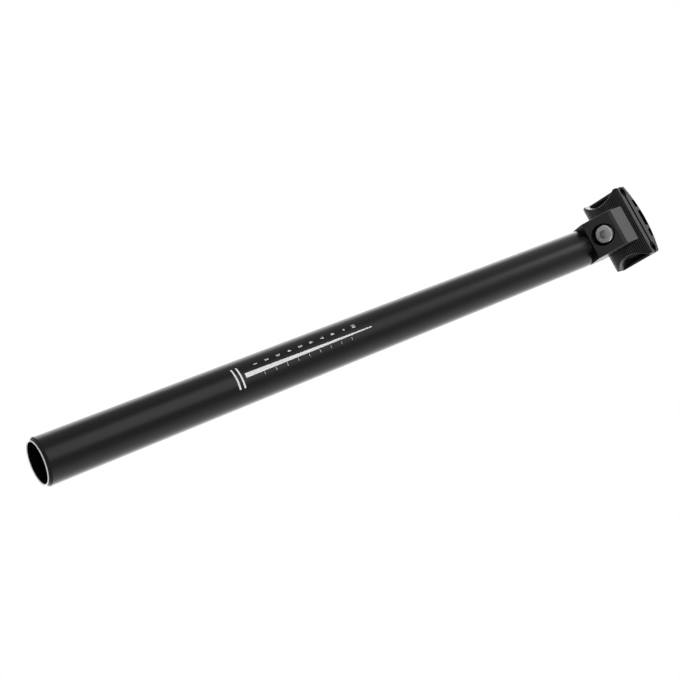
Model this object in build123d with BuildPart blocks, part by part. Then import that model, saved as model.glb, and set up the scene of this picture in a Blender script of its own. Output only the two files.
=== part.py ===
"""Setback bicycle seatpost with a single-bolt, micro-adjust rail clamp.

Row frame in millimetres: origin at the centre of the tube's lower end, +Z up the tube,
+X forward on the bicycle, +Y to the rider's left.
The head and clamps are drawn in a saddle frame that leans back with the seat tube: its
origin is on the tube's axis at the crown, its x runs rearwards along the saddle rails
and its height is square to them.
"""

import os
from math import asin, cos, degrees, radians, sin, sqrt, tan

from build123d import *

# Tube
tube_diameter = 27.2
tube_wall = 2.1
tube_end_below_crown = 1.5
end_bevel_length = 2.0
end_land = 0.6
bore_bevel = 0.3
neck_inset = 0.2
neck_start_below_head = 0.5

# Saddle frame
crown_height = 425.0
seat_tube_lean = 15.0
clamp_centre_x = 21.0
pivot_height = 29.8

# Head
head_overhang = 0.1
shoulder_lean = 14.4
shoulder_overhang = 0.4
cradle_radius = 20.0
cradle_half_angle = 42.5
rear_foot_x = 31.4
rear_face_lean = 10.0
rear_wall_reach = 20.0
crown_front_rise = 2.6
crown_bulge = 2.4
cradle_lip = 1.6
rear_edge_bevel = 1.5
head_edge_bevel = 0.5
spigot_length = 38.0
spigot_glue_gap = 0.05
spigot_wall = 3.95
spigot_bore_floor = 3.0
spigot_bevel = 1.0

# Teeth between head and lower clamp
tooth_pitch = 1.45
tooth_depth = 0.42
cradle_clearance = 0.05

# Rails
rail_radius = 3.5
rail_spacing = 44.0
rail_axis_height = 22.6
clamp_gap = 2.4

# Both clamps
clamp_length = 31.2
clamp_rear_offset = 0.4
lower_clamp_width = 53.4
upper_clamp_overhang = 0.2
clamp_corner_radius = 1.6

# Lower clamp
arch_radius = 16.8
arch_waist_width = 41.2
arch_edge_bevel = 0.45
well_length = 20.6
well_width = 26.4
well_depth = 2.1

# Upper clamp
top_height = 34.8
top_end_height = 28.0
top_edge_bevel = 0.8
boss_length = 19.0
boss_width = 25.6
boss_drop = 3.4
pocket_floor_height = 28.6
pocket_depth = 3.2
pocket_skin = 1.1
pocket_outer_width = 30.0
rib_width = 3.0
rib_spacing = 15.0

# Bolt, washer and barrel nut
bolt_radius = 4.0
bolt_length = 35.0
bolt_head_radius = 6.5
bolt_head_height = 8.0
bolt_head_stand = 4.1
bolt_head_bevel = 0.7
bolt_tip_bevel = 0.8
socket_across_flats = 6.0
socket_depth = 4.2
bolt_hole_radius = 4.4
washer_radius = 7.5
washer_thickness = 1.6
washer_bore_radius = 4.2
recess_side_clearance = 0.3
nut_radius = 6.0
nut_length = 20.0
nut_end_bevel = 0.5
thread_clearance = 0.05
nut_seat_clearance = 0.05
nut_end_clearance = 0.4
tilt_range = 15.0
slot_side_clearance = 0.4

# Derived sizes
tube_radius = tube_diameter / 2
bore_radius = tube_radius - tube_wall
spigot_radius = bore_radius - spigot_glue_gap
neck_radius = tube_radius - neck_inset
head_half_width = tube_radius + head_overhang
shoulder_reach = tube_radius + shoulder_overhang
shoulder_drop = shoulder_reach * tan(radians(shoulder_lean))
tube_length = crown_height - tube_end_below_crown
neck_foot = tube_length - shoulder_drop - neck_start_below_head
clamp_middle_x = clamp_centre_x + clamp_rear_offset
upper_clamp_width = lower_clamp_width + 2 * upper_clamp_overhang
bolt_seat_height = bolt_head_height - bolt_head_stand
recess_depth = bolt_seat_height + washer_thickness
recess_radius = washer_radius + recess_side_clearance
lower_top = rail_axis_height - clamp_gap / 2
upper_bottom = rail_axis_height + clamp_gap / 2
clamp_radius = cradle_radius - cradle_clearance
slot_radius = bolt_radius + slot_side_clearance
slot_swing = cradle_radius * tan(radians(tilt_range))
tooth_step = degrees(tooth_pitch / cradle_radius)
rise = top_height - top_end_height
top_radius = ((upper_clamp_width / 2) ** 2 + rise**2) / (2 * rise)
lean = radians(seat_tube_lean)

# The saddle frame's planes: level (x rearwards, y to the rider's right), side and rear
crown = Vector(0, 0, crown_height)
rearwards = Vector(-cos(lean), 0, sin(lean))
upwards = Vector(sin(lean), 0, cos(lean))
level = Plane(origin=crown, x_dir=rearwards, z_dir=upwards)
side = Plane(origin=crown, x_dir=rearwards, z_dir=(0, 1, 0))
pivot = (clamp_centre_x, pivot_height)
bolt_axis = Axis(crown + rearwards * clamp_centre_x, upwards)

# The sloping joint between tube and head behind the tube's axis, in the side plane
tube_top = side.to_local_coords(Vector(0, 0, tube_length))
shoulder = side.to_local_coords(Vector(-shoulder_reach, 0, tube_length - shoulder_drop))
shoulder_line = [(tube_top.X, tube_top.Y), (shoulder.X, shoulder.Y)]


def level_at(height, x=0.0):
    """The level plane raised to a height, with its origin moved rearwards by x."""
    return level.offset(height).shift_origin(crown + rearwards * x + upwards * height)


def rail_plane(x):
    """The plane square to the rails at x, whose own x runs to the rider's right."""
    return Plane(origin=crown + rearwards * x, x_dir=(0, -1, 0), z_dir=rearwards)


def arc_point(radius, angle):
    """A point of the side plane on an arc about the pivot, angle from straight down."""
    return (
        clamp_centre_x + radius * sin(radians(angle)),
        pivot_height - radius * cos(radians(angle)),
    )


def teeth(radius, half_angle):
    """V grooves along an arc about the pivot, as diamonds centred on the arc."""
    count = int(2 * half_angle / tooth_step)
    for index in range(count + 1):
        angle = (index - count / 2) * tooth_step
        with Locations(Location((*arc_point(radius, angle), 0), (0, 0, angle + 45))):
            Rectangle(tooth_depth * sqrt(2), tooth_depth * sqrt(2))


# Tube: straight, bevelled at its open end, with a slightly slimmer neck under the head
with BuildPart() as tube:
    with BuildSketch(Plane.XZ):
        with BuildLine():
            Polyline(
                (bore_radius + bore_bevel, 0),
                (bore_radius + end_land, 0),
                (tube_radius, end_bevel_length),
                (tube_radius, neck_foot),
                (neck_radius, neck_foot),
                (neck_radius, tube_length),
                (bore_radius, tube_length),
                (bore_radius, bore_bevel),
                close=True,
            )
        make_face()
    revolve(axis=Axis.Z)
    with BuildSketch(side):
        with BuildLine():
            Polyline(*shoulder_line, (shoulder_reach / cos(lean), 0), close=True)
        make_face()
    extrude(amount=tube_diameter, both=True, mode=Mode.SUBTRACT)
tube.part.label = "tube"

# Head: a round crown over the tube runs back into a square block with a toothed cradle
with BuildPart() as head:
    with BuildSketch(Plane.XY.offset(tube_length)):
        Circle(neck_radius)
    extrude(amount=pivot_height)
    with BuildSketch(side):
        with BuildLine():
            Polyline(
                *shoulder_line,
                (rear_foot_x, 0),
                (rear_foot_x + rear_wall_reach * tan(radians(rear_face_lean)), rear_wall_reach),
                (rear_wall_reach * tan(lean), rear_wall_reach),
                close=True,
            )
        make_face()
    extrude(amount=head_half_width, both=True)
    front_lip = arc_point(cradle_radius + cradle_lip, -cradle_half_angle)
    front_foot = (-neck_radius / cos(lean), crown_front_rise + neck_radius * sin(lean))
    with BuildSketch(side):
        with BuildLine():
            crest = SagittaArc(front_foot, front_lip, -crown_bulge)
            Polyline(
                front_lip,
                pivot,
                (front_lip[0], 2 * pivot_height),
                (2 * front_foot[0], 2 * pivot_height),
                (2 * front_foot[0], front_foot[1]),
                front_foot,
            )
        make_face()
        with Locations(pivot):
            Circle(cradle_radius)
    extrude(amount=tube_diameter, both=True, mode=Mode.SUBTRACT)
    rear_foot = level.from_local_coords((rear_foot_x, 0, 0))
    chamfer(head.edges().filter_by(Axis.Y).sort_by_distance(rear_foot)[0], rear_edge_bevel)
    upright_edges = [
        edge
        for edge in head.edges().filter_by(GeomType.LINE)
        if abs(abs(edge.center().Y) - head_half_width) < 0.01
        and side.to_local_coords(edge.center()).X > shoulder.X
    ]
    chamfer(upright_edges, head_edge_bevel)
    with BuildSketch(side):
        teeth(cradle_radius, cradle_half_angle)
    extrude(amount=tube_diameter, both=True, mode=Mode.SUBTRACT)
    with BuildSketch(level_at(shoulder.Y, clamp_centre_x)):
        Circle(recess_radius)
    extrude(amount=recess_depth - shoulder.Y, mode=Mode.SUBTRACT)
    with BuildSketch(level_at(0, clamp_centre_x)):
        Circle(bolt_hole_radius)
    extrude(amount=pivot_height, mode=Mode.SUBTRACT)
    with BuildSketch(Plane.XY.offset(tube_length)):
        Circle(spigot_radius)
    extrude(amount=-spigot_length)
    chamfer(head.faces().sort_by(Axis.Z)[0].edges(), spigot_bevel)
    with BuildSketch(Plane.XY.offset(tube_length - spigot_length)):
        Circle(spigot_radius - spigot_wall)
    extrude(amount=spigot_length - spigot_bore_floor, mode=Mode.SUBTRACT)
head.part.label = "head"

# Lower clamp: toothed underneath, with a groove for each rail and arched at each end
with BuildPart() as lower_clamp:
    with BuildSketch(side):
        with Locations(pivot):
            Circle(clamp_radius)
        with Locations((clamp_middle_x, lower_top - cradle_radius / 2)):
            Rectangle(clamp_length, cradle_radius, mode=Mode.INTERSECT)
    extrude(amount=lower_clamp_width / 2, both=True)
    with BuildSketch(level_at(0, clamp_middle_x)):
        RectangleRounded(clamp_length, lower_clamp_width, clamp_corner_radius)
        with Locations(*[(0, s * (arch_waist_width / 2 + arch_radius)) for s in (-1, 1)]):
            Circle(arch_radius, mode=Mode.SUBTRACT)
    extrude(amount=lower_top, mode=Mode.INTERSECT)
    toothed_face = lower_clamp.faces().sort_by_distance(
        side.from_local_coords((*arc_point(clamp_radius, 0), 0))
    )[0]
    chamfer(toothed_face.edges(), arch_edge_bevel)
    with BuildSketch(side):
        rear_reach = clamp_length / 2 + clamp_rear_offset - arch_edge_bevel
        teeth(clamp_radius, degrees(asin(rear_reach / clamp_radius)))
    extrude(amount=lower_clamp_width, both=True, mode=Mode.SUBTRACT)
    with BuildSketch(rail_plane(0)):
        with Locations(*[(s * rail_spacing / 2, rail_axis_height) for s in (-1, 1)]):
            Circle(rail_radius)
    extrude(amount=clamp_centre_x + clamp_length, mode=Mode.SUBTRACT)
    with BuildSketch(level_at(lower_top, clamp_centre_x)):
        RectangleRounded(well_length, well_width, clamp_corner_radius)
    extrude(amount=-well_depth, mode=Mode.SUBTRACT)
    with BuildSketch(level_at(0, clamp_centre_x)):
        SlotCenterToCenter(2 * slot_swing, 2 * slot_radius)
    extrude(amount=lower_top, mode=Mode.SUBTRACT)
lower_clamp.part.label = "lower_clamp"

# Upper clamp: an arched bridge with ribbed pockets fore and aft and a seat for the nut
with BuildPart() as upper_clamp:
    with BuildSketch(rail_plane(clamp_middle_x)):
        with Locations((0, top_height - top_radius)):
            Circle(top_radius)
        with Locations((0, (upper_bottom + top_height) / 2)):
            Rectangle(upper_clamp_width, top_height - upper_bottom, mode=Mode.INTERSECT)
    extrude(amount=clamp_length / 2, both=True)
    top_centre = level.from_local_coords((clamp_middle_x, 0, top_height))
    chamfer(upper_clamp.faces().sort_by_distance(top_centre)[0].edges(), top_edge_bevel)
    with BuildSketch(level_at(upper_bottom, clamp_middle_x)):
        RectangleRounded(clamp_length, upper_clamp_width, clamp_corner_radius)
    extrude(amount=top_height, mode=Mode.INTERSECT)
    with BuildSketch(level_at(upper_bottom, clamp_centre_x)):
        RectangleRounded(boss_length, boss_width, clamp_corner_radius)
    extrude(amount=-boss_drop)
    for end in (-1, 1):
        with BuildSketch(rail_plane(clamp_middle_x + end * clamp_length / 2)):
            with Locations((0, top_height - top_radius)):
                Circle(top_radius - pocket_skin)
            with Locations((0, pocket_floor_height + top_radius / 2)):
                Rectangle(pocket_outer_width, top_radius, mode=Mode.INTERSECT)
            with Locations(*[(s * rib_spacing / 2, pocket_floor_height) for s in (-1, 1)]):
                Rectangle(rib_width, top_height, mode=Mode.SUBTRACT)
        extrude(amount=-end * pocket_depth, mode=Mode.SUBTRACT)
    with BuildSketch(rail_plane(0)):
        with Locations(*[(s * rail_spacing / 2, rail_axis_height) for s in (-1, 1)]):
            Circle(rail_radius)
    extrude(amount=clamp_centre_x + clamp_length, mode=Mode.SUBTRACT)
    seat_radius = nut_radius + nut_seat_clearance
    with BuildSketch(side):
        with Locations(pivot):
            Circle(seat_radius)
        with Locations((clamp_centre_x, pivot_height + seat_radius)):
            Rectangle(2 * seat_radius, 2 * seat_radius)
    extrude(amount=nut_length / 2 + nut_end_clearance, both=True, mode=Mode.SUBTRACT)
    with BuildSketch(level_at(0, clamp_centre_x)):
        SlotCenterToCenter(slot_swing, 2 * slot_radius)
    extrude(amount=pivot_height, mode=Mode.SUBTRACT)
upper_clamp.part.label = "upper_clamp"

# Clamp bolt: hexagon-socket head below, threaded end above
with BuildPart() as clamp_bolt:
    with BuildSketch(level_at(-bolt_head_stand, clamp_centre_x)):
        Circle(bolt_head_radius)
    extrude(amount=bolt_head_height)
    chamfer(clamp_bolt.edges().sort_by(bolt_axis)[0], bolt_head_bevel)
    with BuildSketch(level_at(bolt_seat_height, clamp_centre_x)):
        Circle(bolt_radius)
    extrude(amount=bolt_length)
    chamfer(clamp_bolt.edges().sort_by(bolt_axis)[-1], bolt_tip_bevel)
    with BuildSketch(level_at(-bolt_head_stand, clamp_centre_x)):
        RegularPolygon(socket_across_flats / 2, 6, major_radius=False)
    extrude(amount=socket_depth, mode=Mode.SUBTRACT)
clamp_bolt.part.label = "clamp_bolt"

# Washer under the bolt's head, in the head's round recess
with BuildPart() as washer:
    with BuildSketch(level_at(bolt_seat_height, clamp_centre_x)):
        Circle(washer_radius)
        Circle(washer_bore_radius, mode=Mode.SUBTRACT)
    extrude(amount=washer_thickness)
washer.part.label = "washer"

# Barrel nut: lies across the upper clamp, and the clamps tilt about its axis
with BuildPart() as barrel_nut:
    with BuildSketch(side):
        with Locations(pivot):
            Circle(nut_radius)
    extrude(amount=nut_length / 2, both=True)
    chamfer(barrel_nut.edges().filter_by(GeomType.CIRCLE), nut_end_bevel)
    with BuildSketch(level_at(0, clamp_centre_x)):
        Circle(bolt_radius + thread_clearance)
    extrude(amount=2 * pivot_height, mode=Mode.SUBTRACT)
barrel_nut.part.label = "barrel_nut"

os.makedirs("parts", exist_ok=True)
for piece in (tube, head, lower_clamp, upper_clamp, clamp_bolt, washer, barrel_nut):
    export_step(piece.part, f"parts/{piece.part.label}.step")
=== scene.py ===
from math import cos, radians, sin

import bmesh
import bpy
from mathutils import Matrix, Vector


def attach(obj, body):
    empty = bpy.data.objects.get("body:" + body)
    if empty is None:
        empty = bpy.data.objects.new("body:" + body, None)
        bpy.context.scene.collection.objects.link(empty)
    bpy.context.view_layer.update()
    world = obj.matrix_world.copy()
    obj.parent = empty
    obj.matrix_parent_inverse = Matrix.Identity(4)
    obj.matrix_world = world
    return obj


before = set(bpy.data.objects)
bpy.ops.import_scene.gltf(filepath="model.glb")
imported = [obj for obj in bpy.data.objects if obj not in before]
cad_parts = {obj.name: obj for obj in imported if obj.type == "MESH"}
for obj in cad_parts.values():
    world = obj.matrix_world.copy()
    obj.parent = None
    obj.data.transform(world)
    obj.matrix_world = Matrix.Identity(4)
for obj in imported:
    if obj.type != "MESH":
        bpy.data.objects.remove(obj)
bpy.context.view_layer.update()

MM = 0.001

# Camera: the photograph's viewing angle, from below and behind the head
LENS, SENSOR_WIDTH = 58.1087, 36
CLIP_START, CLIP_END = 0.01, 20
CAMERA_AT = Vector((-0.54922171, -0.09250214, -0.16989581))
CAMERA_RIGHT = Vector((-0.44536251, -0.4468883, 0.77584991))
CAMERA_DOWN = Vector((0.35683203, -0.88333239, -0.30396512))
CAMERA_FORWARD = Vector((0.82117181, 0.14147343, 0.55286719))

# Print on the tube's rear: u runs to the right round the tube, seen from behind, from the line
TUBE_RADIUS = 13.6 * MM
PRINT_AZIMUTH = radians(178)
PRINT_ABOVE, PRINT_BELOW = 0.02 * MM, 0.04 * MM
PRINT_FACET, PRINT_WELD = 0.4 * MM, 0.001 * MM
LINE_FOOT, LINE_TIP = 123.0 * MM, 216.0 * MM
LINE_FOOT_WIDTH, LINE_TIP_WIDTH = 2.8 * MM, 0.6 * MM
SCALE_STEP = 8.0 * MM
NUMBER_COUNT, FIRST_NUMBER, NUMBER_U = 10, 132.5 * MM, -4.6 * MM
NUMBER_HEIGHT, NUMBER_SQUEEZE, NUMBER_WEIGHT = 2.5 * MM, 0.85, 0.03
TICK_COUNT, FIRST_TICK, TICK_U = 9, 135.1 * MM, 2.5 * MM
TICK_LENGTH, TICK_WIDTH = 1.9 * MM, 0.22 * MM
LOW_MARKS = (117.0 * MM, 120.2 * MM)
LOW_MARK_LENGTH, LOW_MARK_WIDTH = 13.0 * MM, 1.1 * MM

# Studio: soft panels round the object, named as seen from the camera, with all angles in degrees.
# A centre is a compass direction from +X towards +Y, and a foot is an angle over the horizon
PANELS = {
    "left_wall": dict(centre=40, half_width=16, soft=32, strength=2.8, fade=0.8, foot=-3),
    "key": dict(centre=174, half_width=8, soft=26, strength=3.1, fade=0.04, foot=11),
    "right_wall": dict(centre=296, half_width=10, soft=60, strength=1.4, fade=0.4, foot=-26),
    "far_wall": dict(centre=355, half_width=10, soft=30, strength=0.55, fade=0.8, foot=-3),
}
REAR_CARD = dict(toward=(-0.57, 0.12, 0.81), half_angle=5, soft=9, strength=3.2)
# Angles over the horizon: the panels fade to a share of their strength between the first pair, and
# give way to an even light from above between the second
FADE_LOW, FADE_HIGH = 18, 56
TOP_LOW, TOP_HIGH, TOP_LIGHT = 54, 72, 0.1
FOOT_SOFT = 5
BASE_LIGHT = 0.07
# All of this light is scaled by one gain, which leaves the white background as it is
PANEL_GAIN = 1.1
FLOOR_AT, FLOOR_SIZE = -1.0, 8.0

# Finishes: every base colour is a grey, and a fine noise gives each surface its grain
TUBE_BLACK, TUBE_GLOSS, TUBE_ROUGHNESS = 0.003, 0.15, (0.22, 0.28)
TUBE_GRAIN = {"Scale": 9000, "Detail": 1.0, "Roughness": 0.5}
TUBE_GRAIN_SPAN, TUBE_GRAIN_DEPTH = (0.2, 0.8), 0.002 * MM
BLAST_IOR, BLAST_DEPTH = 1.8, 0.012 * MM
BLAST_GRAIN = {"Scale": 3500, "Detail": 3.0, "Roughness": 0.6}
STEEL_GRAIN = {"Scale": 1500, "Detail": 2.0, "Roughness": 0.5}
STEEL_GRAIN_SPAN, STEEL_SPREAD = (0.3, 0.7), 0.05
PRINT_WHITE, PRINT_WORN, PRINT_ROUGHNESS = 0.95, 0.7, 0.45
WEAR_GRAIN = {"Scale": 2500, "Detail": 3.0, "Roughness": 0.6}
WEAR_SPAN = (0.62, 0.75)

# The machined end of the tube is bare metal, which runs out up its bevel
BARE_METAL, BARE_METALLIC = 0.7, 0.3
BARE_BELOW, BLACK_ABOVE = 0.15 * MM, 0.6 * MM


def make_camera():
    data = bpy.data.cameras.new("camera")
    data.lens = LENS
    data.sensor_width = SENSOR_WIDTH
    data.clip_start, data.clip_end = CLIP_START, CLIP_END
    camera = bpy.data.objects.new("camera", data)
    rotation = Matrix((CAMERA_RIGHT, -CAMERA_DOWN, -CAMERA_FORWARD)).transposed()
    camera.matrix_world = Matrix.Translation(CAMERA_AT) @ rotation.to_4x4()
    bpy.context.scene.collection.objects.link(camera)
    bpy.context.scene.camera = camera


class Nodes:
    """Short calls that add nodes to one tree and link them."""

    def __init__(self, tree):
        self.tree = tree

    def add(self, kind, **settings):
        node = self.tree.nodes.new(kind)
        for name, value in settings.items():
            setattr(node, name, value)
        return node

    def feed(self, socket, source):
        if isinstance(source, bpy.types.NodeSocket):
            self.tree.links.new(source, socket)
        else:
            socket.default_value = source

    def fed(self, kind, sources, **settings):
        """A new node with its first sockets fed in order."""
        node = self.add(kind, **settings)
        for socket, source in zip(node.inputs, sources):
            self.feed(socket, source)
        return node

    def math(self, operation, *sources):
        return self.fed("ShaderNodeMath", sources, operation=operation).outputs[0]

    def vector(self, operation, *sources):
        return self.fed("ShaderNodeVectorMath", sources, operation=operation).outputs["Vector"]

    def dot(self, *sources):
        node = self.fed("ShaderNodeVectorMath", sources, operation="DOT_PRODUCT")
        return node.outputs["Value"]

    def height(self, position):
        return self.fed("ShaderNodeSeparateXYZ", [position]).outputs["Z"]

    def ramp(self, value, low, high, to_low=0.0, to_high=1.0):
        """A smooth step from to_low at low to to_high at high."""
        sources = (value, low, high, to_low, to_high)
        return self.fed("ShaderNodeMapRange", sources, interpolation_type="SMOOTHSTEP").outputs[0]

    def noise(self, grain):
        node = self.add("ShaderNodeTexNoise")
        for name, value in grain.items():
            node.inputs[name].default_value = value
        return node.outputs["Fac"]

    def bump(self, height, distance):
        node = self.add("ShaderNodeBump")
        node.inputs["Distance"].default_value = distance
        self.feed(node.inputs["Height"], height)
        return node.outputs["Normal"]

    def mix(self, factor, first, second):
        node = self.add("ShaderNodeMix", data_type="RGBA")
        self.feed(node.inputs["Factor"], factor)
        self.feed(node.inputs["A"], first)
        self.feed(node.inputs["B"], second)
        return node.outputs["Result"]

    def background_ray(self):
        """1 for the rays that show the background: to the camera, in gloss and through glass."""
        path = self.add("ShaderNodeLightPath").outputs
        shown = self.math("MAXIMUM", path["Is Camera Ray"], path["Is Glossy Ray"])
        return self.math("MAXIMUM", shown, path["Is Transmission Ray"])

    def glow(self, direction, toward, half_angle, soft, strength):
        """Full strength within half_angle of a direction, gone after soft degrees more."""
        inner = cos(radians(half_angle))
        outer = cos(radians(half_angle + soft))
        return self.ramp(self.dot(direction, toward), outer, inner, 0.0, strength)

    def rise(self, up, low, high, to_low=0.0, to_high=1.0):
        """A ramp over the height of a direction, between two angles over the horizon."""
        return self.ramp(up, sin(radians(low)), sin(radians(high)), to_low, to_high)


def make_world():
    """A white background, also in gloss and through glass, and soft panels in front of it."""
    world = bpy.data.worlds.new("studio")
    bpy.context.scene.world = world
    world.use_nodes = True
    n = Nodes(world.node_tree)
    background = world.node_tree.nodes["Background"]
    background.inputs["Color"].default_value = (1, 1, 1, 1)
    direction = n.add("ShaderNodeTexCoord").outputs["Generated"]
    up = n.height(direction)
    compass = n.vector("NORMALIZE", n.vector("MULTIPLY", direction, (1, 1, 0)))
    light = n.rise(up, -FOOT_SOFT, 0, 0.0, BASE_LIGHT)
    for panel in PANELS.values():
        centre = radians(panel["centre"])
        toward = (cos(centre), sin(centre), 0)
        glow = n.glow(compass, toward, panel["half_width"], panel["soft"], panel["strength"])
        fade = n.rise(up, FADE_LOW, FADE_HIGH, 1.0, panel["fade"])
        foot = n.rise(up, panel["foot"], panel["foot"] + FOOT_SOFT)
        light = n.math("ADD", n.math("MULTIPLY", n.math("MULTIPLY", glow, fade), foot), light)
    below_top = n.rise(up, TOP_LOW, TOP_HIGH, 1.0, 0.0)
    top = n.rise(up, TOP_LOW, TOP_HIGH, 0.0, TOP_LIGHT)
    light = n.math("ADD", n.math("MULTIPLY", light, below_top), top)
    toward = Vector(REAR_CARD["toward"]).normalized()
    half_angle, soft = REAR_CARD["half_angle"], REAR_CARD["soft"]
    card = n.glow(direction, toward, half_angle, soft, REAR_CARD["strength"])
    light = n.math("MULTIPLY", n.math("ADD", light, card), PANEL_GAIN)
    from_camera = n.add("ShaderNodeLightPath").outputs["Is Camera Ray"]
    lit = n.math("MULTIPLY", light, n.math("SUBTRACT", 1.0, from_camera))
    n.feed(background.inputs["Strength"], n.math("ADD", n.background_ray(), lit))


def add_object(name, bm, material):
    mesh = bpy.data.meshes.new(name)
    bm.to_mesh(mesh)
    bm.free()
    mesh.materials.append(material)
    made = bpy.data.objects.new(name, mesh)
    bpy.context.scene.collection.objects.link(made)
    return made


def make_floor():
    """A pale floor far below, as white as the background where it is seen or mirrored."""
    material = bpy.data.materials.new("floor")
    material.use_nodes = True
    n = Nodes(material.node_tree)
    glow = n.add("ShaderNodeEmission").outputs[0]
    pale = n.add("ShaderNodeBsdfDiffuse").outputs[0]
    choice = n.fed("ShaderNodeMixShader", (n.background_ray(), pale, glow))
    n.feed(material.node_tree.nodes["Material Output"].inputs["Surface"], choice.outputs[0])
    bm = bmesh.new()
    bmesh.ops.create_grid(bm, x_segments=1, y_segments=1, size=FLOOR_SIZE / 2)
    bmesh.ops.translate(bm, verts=bm.verts, vec=(0, 0, FLOOR_AT))
    add_object("studio_floor", bm, material)


def new_material(name, settings):
    material = bpy.data.materials.new(name)
    material.use_nodes = True
    shader = material.node_tree.nodes["Principled BSDF"]
    for socket, value in settings.items():
        shader.inputs[socket].default_value = value
    return material, shader, Nodes(material.node_tree)


def grey(value):
    return (value, value, value, 1.0)


def tube_finish():
    material, shader, n = new_material("satin_anodised", {"Specular IOR Level": TUBE_GLOSS})
    above_end = n.height(n.add("ShaderNodeTexCoord").outputs["Object"])
    bare = n.ramp(above_end, BARE_BELOW, BLACK_ABOVE, 1.0, 0.0)
    n.feed(shader.inputs["Base Color"], n.mix(bare, grey(TUBE_BLACK), grey(BARE_METAL)))
    n.feed(shader.inputs["Metallic"], n.math("MULTIPLY", bare, BARE_METALLIC))
    grain = n.noise(TUBE_GRAIN)
    n.feed(shader.inputs["Roughness"], n.ramp(grain, *TUBE_GRAIN_SPAN, *TUBE_ROUGHNESS))
    n.feed(shader.inputs["Normal"], n.bump(grain, TUBE_GRAIN_DEPTH))
    return material


def blasted_finish(name, base, roughness, gloss):
    settings = {
        "Base Color": grey(base),
        "Roughness": roughness,
        "IOR": BLAST_IOR,
        "Specular IOR Level": gloss,
    }
    material, shader, n = new_material(name, settings)
    n.feed(shader.inputs["Normal"], n.bump(n.noise(BLAST_GRAIN), BLAST_DEPTH))
    return material


def steel_finish(name, base, roughness, metallic=1.0):
    material, shader, n = new_material(name, {"Base Color": grey(base), "Metallic": metallic})
    smoother, rougher = roughness - STEEL_SPREAD, roughness + STEEL_SPREAD
    uneven = n.ramp(n.noise(STEEL_GRAIN), *STEEL_GRAIN_SPAN, smoother, rougher)
    n.feed(shader.inputs["Roughness"], uneven)
    return material


def print_finish():
    material, shader, n = new_material("white_print", {"Roughness": PRINT_ROUGHNESS})
    worn = n.ramp(n.noise(WEAR_GRAIN), *WEAR_SPAN)
    n.feed(shader.inputs["Base Color"], n.mix(worn, grey(PRINT_WHITE), grey(PRINT_WORN)))
    return material


def flat_shape(bm, corners):
    """A thin plate of the print, drawn flat: x round the tube, y up it, z away from it."""
    face = bm.faces.new([bm.verts.new((x, y, -PRINT_BELOW)) for x, y in corners])
    grown = bmesh.ops.extrude_face_region(bm, geom=[face])["geom"]
    tops = [item for item in grown if isinstance(item, bmesh.types.BMVert)]
    bmesh.ops.translate(bm, verts=tops, vec=(0, 0, PRINT_ABOVE + PRINT_BELOW))


def flat_bar(bm, u, z, length, width):
    """A bar across the tube, centred on u."""
    left, right, low, high = u - length / 2, u + length / 2, z - width / 2, z + width / 2
    flat_shape(bm, [(left, low), (right, low), (right, high), (left, high)])


def flat_number(bm, number, u, z):
    """A number as a thin plate, centred on u with its foot at z."""
    text = bpy.data.curves.new("number", "FONT")
    text.body = str(number)
    text.align_x = "CENTER"
    text.offset = NUMBER_WEIGHT
    text.extrude = (PRINT_ABOVE + PRINT_BELOW) / 2
    holder = bpy.data.objects.new("number", text)
    bpy.context.scene.collection.objects.link(holder)
    bpy.context.view_layer.update()
    mesh = bpy.data.meshes.new_from_object(holder)
    heights = [vertex.co.y for vertex in mesh.vertices]
    scale = NUMBER_HEIGHT / (max(heights) - min(heights))
    size = Matrix.Diagonal((scale * NUMBER_SQUEEZE, scale, 1, 1))
    lift = (PRINT_ABOVE - PRINT_BELOW) / 2
    mesh.transform(Matrix.Translation((u, z, lift)) @ size)
    bm.from_mesh(mesh)
    bpy.data.objects.remove(holder)
    bpy.data.curves.remove(text)
    bpy.data.meshes.remove(mesh)


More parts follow.
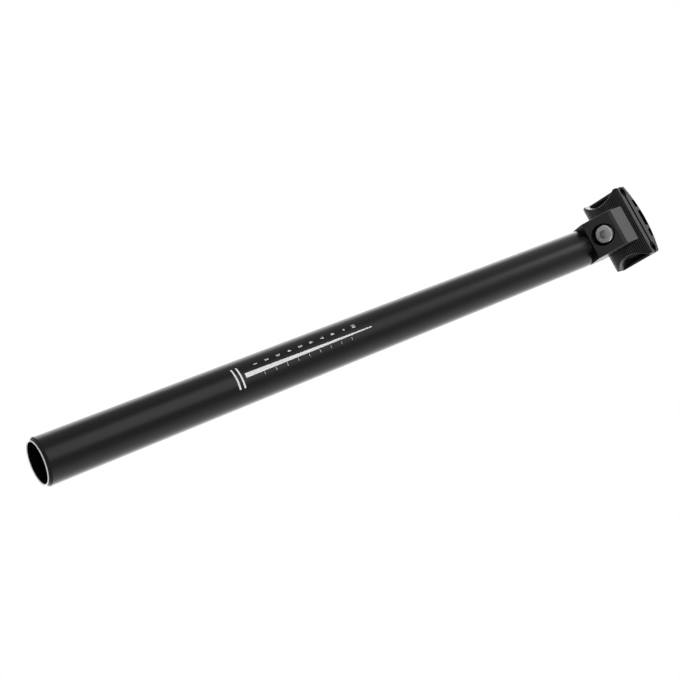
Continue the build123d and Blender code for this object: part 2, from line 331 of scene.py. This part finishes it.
def wrap_print(name, bm, material):
    """Cut the flat print into narrow facets and lay it round the tube."""
    bmesh.ops.remove_doubles(bm, verts=bm.verts, dist=PRINT_WELD)
    low, high = min(v.co.x for v in bm.verts), max(v.co.x for v in bm.verts)
    for step in range(int(low / PRINT_FACET), int(high / PRINT_FACET) + 1):
        everything = bm.verts[:] + bm.edges[:] + bm.faces[:]
        cut_at = (step * PRINT_FACET, 0, 0)
        bmesh.ops.bisect_plane(bm, geom=everything, plane_co=cut_at, plane_no=(1, 0, 0))
    for vertex in bm.verts:
        u, z, away = vertex.co
        angle = PRINT_AZIMUTH + u / TUBE_RADIUS
        radius = TUBE_RADIUS + away
        vertex.co = (radius * cos(angle), radius * sin(angle), z)
    bmesh.ops.recalc_face_normals(bm, faces=bm.faces)
    piece = add_object(name, bm, material)
    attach(piece, "post")


def make_print(material):
    """A scale with a tapering line, ticks and numbers, and two plain bars at its foot."""
    line = bmesh.new()
    foot, tip = LINE_FOOT_WIDTH / 2, LINE_TIP_WIDTH / 2
    flat_shape(line, [(-foot, LINE_FOOT), (foot, LINE_FOOT), (tip, LINE_TIP), (-tip, LINE_TIP)])
    wrap_print("scale_line", line, material)
    ticks = bmesh.new()
    for index in range(TICK_COUNT):
        flat_bar(ticks, TICK_U, FIRST_TICK + index * SCALE_STEP, TICK_LENGTH, TICK_WIDTH)
    wrap_print("scale_ticks", ticks, material)
    numbers = bmesh.new()
    for index in range(NUMBER_COUNT):
        foot_height = FIRST_NUMBER + index * SCALE_STEP - NUMBER_HEIGHT / 2
        flat_number(numbers, index + 1, NUMBER_U, foot_height)
    wrap_print("scale_numbers", numbers, material)
    low_marks = bmesh.new()
    for height in LOW_MARKS:
        flat_bar(low_marks, 0, height, LOW_MARK_LENGTH, LOW_MARK_WIDTH)
    wrap_print("lowest_marks", low_marks, material)


finishes = {
    "tube": tube_finish(),
    "head": blasted_finish("head_blasted", base=0.005, roughness=0.34, gloss=0.14),
    "lower_clamp": blasted_finish("clamp_blasted", base=0.006, roughness=0.3, gloss=0.13),
    "clamp_bolt": steel_finish("bolt_zinc", base=0.36, roughness=0.35, metallic=0.8),
    "washer": steel_finish("washer_oxide", base=0.03, roughness=0.35),
    "barrel_nut": steel_finish("nut_zinc", base=0.3, roughness=0.3),
}
finishes["upper_clamp"] = finishes["lower_clamp"]
white_print = print_finish()

bpy.context.scene.view_settings.view_transform = "Standard"
make_camera()
make_world()
make_floor()
make_print(white_print)
for name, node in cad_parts.items():
    node.data.materials.clear()
    node.data.materials.append(finishes[name])
